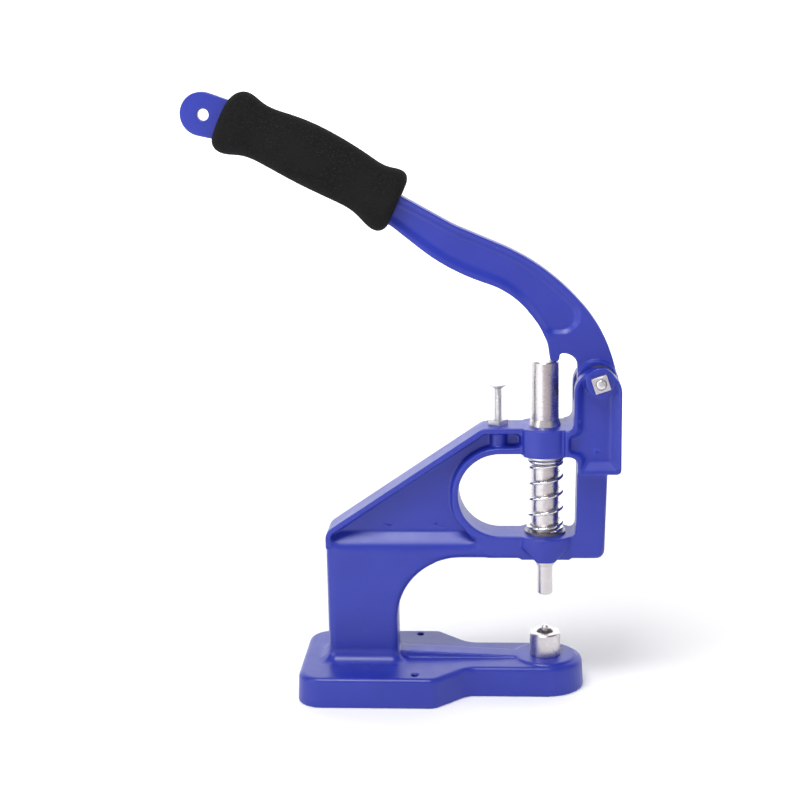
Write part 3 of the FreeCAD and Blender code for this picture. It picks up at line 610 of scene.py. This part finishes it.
# ---------------------------------------------------------------- CAD nodes that show

def finish_cad_nodes():
    """Give the CAD nodes whose shape is right the finish of their slot."""
    for entry in frame["record"]["subparts"]:
        piece = frame["nodes"][entry["node"]]
        if piece.hide_render:
            continue
        for slot in piece.material_slots:
            slot.link = "OBJECT"
            slot.material = FINISHES[entry["material_slot"]]


# ---------------------------------------------------------------- studio

def look(obj, place, target):
    """Stand an object at a place, its -Z towards the target."""
    obj.location = place
    obj.rotation_euler = (Vector(target) - Vector(place)).to_track_quat("-Z", "Y").to_euler()


def soft_light(name, place, target, size, power):
    """A rectangular lamp that faces the target. Sizes are in metres and power in watts."""
    data = bpy.data.lights.new(name, "AREA")
    data.shape = "RECTANGLE"
    data.size, data.size_y = size
    data.energy = power
    light = bpy.data.objects.new(name, data)
    bpy.context.scene.collection.objects.link(light)
    look(light, place, target)


def add_floor():
    """A seamless white sweep, flat under the press and rising far behind it, that glows further away."""
    material = bpy.data.materials.new("sweep")
    material.use_nodes = True
    tree = material.node_tree
    shader = tree.nodes["Principled BSDF"]
    shader.inputs["Base Color"].default_value = (0.90, 0.90, 0.91, 1)
    shader.inputs["Roughness"].default_value = 0.8
    shader.inputs["Specular IOR Level"].default_value = 0.1
    shader.inputs["Emission Color"].default_value = (1, 1, 1, 1)
    away = tree.nodes.new("ShaderNodeVectorMath")
    away.operation = "LENGTH"
    tree.links.new(tree.nodes.new("ShaderNodeTexCoord").outputs["Object"], away.inputs[0])
    near, far, near_glow, far_glow = 0.2, 1.4, 0.12, 0.80
    glow = value_ramp(tree, away.outputs["Value"], near, far, near_glow, far_glow)
    tree.links.new(glow, shader.inputs["Emission Strength"])
    half, front, back, bend, top, level = 5.0, -4.0, 1.6, 0.8, 4.0, -0.0002
    line = [(front, level), (back, level)]
    line += [(back + bend * math.sin(a), bend + level - bend * math.cos(a))
             for a in (math.radians(10 * i) for i in range(1, 10))]
    line.append((back + bend, top))
    mesh = bpy.data.meshes.new("sweep")
    points = [(side * half, y, z) for y, z in line for side in (-1, 1)]
    faces = [(2 * i, 2 * i + 1, 2 * i + 3, 2 * i + 2) for i in range(len(line) - 1)]
    mesh.from_pydata(points, [], faces)
    mesh.shade_smooth()
    floor = bpy.data.objects.new("sweep", mesh)
    mesh.materials.append(material)
    bpy.context.scene.collection.objects.link(floor)


def add_world():
    """A room with pale walls all round that is dim overhead."""
    world = bpy.data.worlds.new("studio")
    bpy.context.scene.world = world
    world.use_nodes = True
    tree = world.node_tree
    background = tree.nodes["Background"]
    background.inputs["Color"].default_value = (1, 1, 1, 1)
    low, high, pale, dim = 0.25, 0.75, 0.75, 0.08
    strength = value_ramp(tree, coordinate(tree, "Generated", "Z"), low, high, pale, dim)
    tree.links.new(strength, background.inputs["Strength"])


def screen(name, first, last, light, dark):
    """A curved card round the press for metal to reflect, between two bearings from the front.

    It is hidden from the camera, from shadows and from diffuse light, so it shows only in the metal as a
    painted reflection, whose colour goes from light on the left to dark on the right.
    """
    radius, foot, height, left, steps = 0.40, 0.002, 0.24, -0.1, 24
    bearings = [math.radians(first + (last - first) * i / steps) for i in range(steps + 1)]
    points = []
    for bearing in bearings:
        x, y = radius * math.sin(bearing), -radius * math.cos(bearing)
        points += [(x, y, foot), (x, y, height)]
    faces = [(2 * i, 2 * i + 2, 2 * i + 3, 2 * i + 1) for i in range(steps)]
    mesh = bpy.data.meshes.new(name)
    mesh.from_pydata(points, [], faces)
    material = bpy.data.materials.new(name)
    material.use_nodes = True
    tree = material.node_tree
    shader = tree.nodes["Principled BSDF"]
    shader.inputs["Roughness"].default_value = 0.9
    shader.inputs["Specular IOR Level"].default_value = 0.0
    share = value_ramp(tree, coordinate(tree, "Object", "X"), left, radius, 0.0, 1.0)
    tree.links.new(colour_mix(tree, share, light, dark), shader.inputs["Base Color"])
    mesh.materials.append(material)
    card = bpy.data.objects.new(name, mesh)
    bpy.context.scene.collection.objects.link(card)
    card.visible_camera = False
    card.visible_shadow = False
    card.visible_diffuse = False


def add_camera():
    """The camera: a mild telephoto a little above the press and to the right of its middle."""
    data = bpy.data.cameras.new("camera")
    data.sensor_width = 36.0
    data.lens = 71.15
    camera = bpy.data.objects.new("camera", data)
    bpy.context.scene.collection.objects.link(camera)
    yaw, pitch, roll = math.radians(4.149), math.radians(12.758), math.radians(-1.183)
    target = Vector((-84.1, 0, 174.8)) * MM
    distance = 920.9 * MM
    forward = Vector((-math.sin(yaw) * math.cos(pitch), math.cos(yaw) * math.cos(pitch), -math.sin(pitch)))
    right = Vector((math.cos(yaw), math.sin(yaw), 0))
    up = right.cross(forward)
    across = right * math.cos(roll) + up * math.sin(roll)
    upright = up * math.cos(roll) - right * math.sin(roll)
    turn = Matrix((across, upright, -forward)).transposed().to_4x4()
    camera.matrix_world = Matrix.Translation(target - forward * distance) @ turn
    bpy.context.scene.camera = camera


# ---------------------------------------------------------------- the press

soft_casting("frame_casting", "cast_frame", "root", voxel=0.62, rounds=7, keep=0.30, softer=LEDGE_EDGES)
soft_casting("lever", "cast_lever", "lever", voxel=0.5, rounds=7, keep=0.35)
foam_grip()
return_spring()
pivot_fasteners()
stop_fasteners()
finish_cad_nodes()

add_floor()
add_world()
add_camera()
soft_light("key", (-1.2, -0.8, 0.7), (-0.05, 0, 0.15), size=(0.3, 0.6), power=3)
soft_light("right_edge", (1.1, -0.5, 0.6), (0, 0, 0.15), size=(0.15, 0.6), power=1)
soft_light("overhead", (-0.35, -0.55, 1.5), (-0.05, 0, 0.1), size=(0.7, 0.7), power=17)
soft_light("table", (-0.1, -0.5, 0.01), (-0.05, 0, 0.35), size=(1.4, 0.4), power=1)
# Painted reflections: a light-to-dark card in front and a thin dark card at the left, seen only in the ram,
# die and other metal.
screen("dark_front", -20, 112, (0.66, 0.58, 0.60), (0.24, 0.21, 0.23))
screen("dark_gap", -97, -83, (0.03, 0.025, 0.03), (0.03, 0.025, 0.03))
bpy.context.scene.view_settings.view_transform = "Standard"
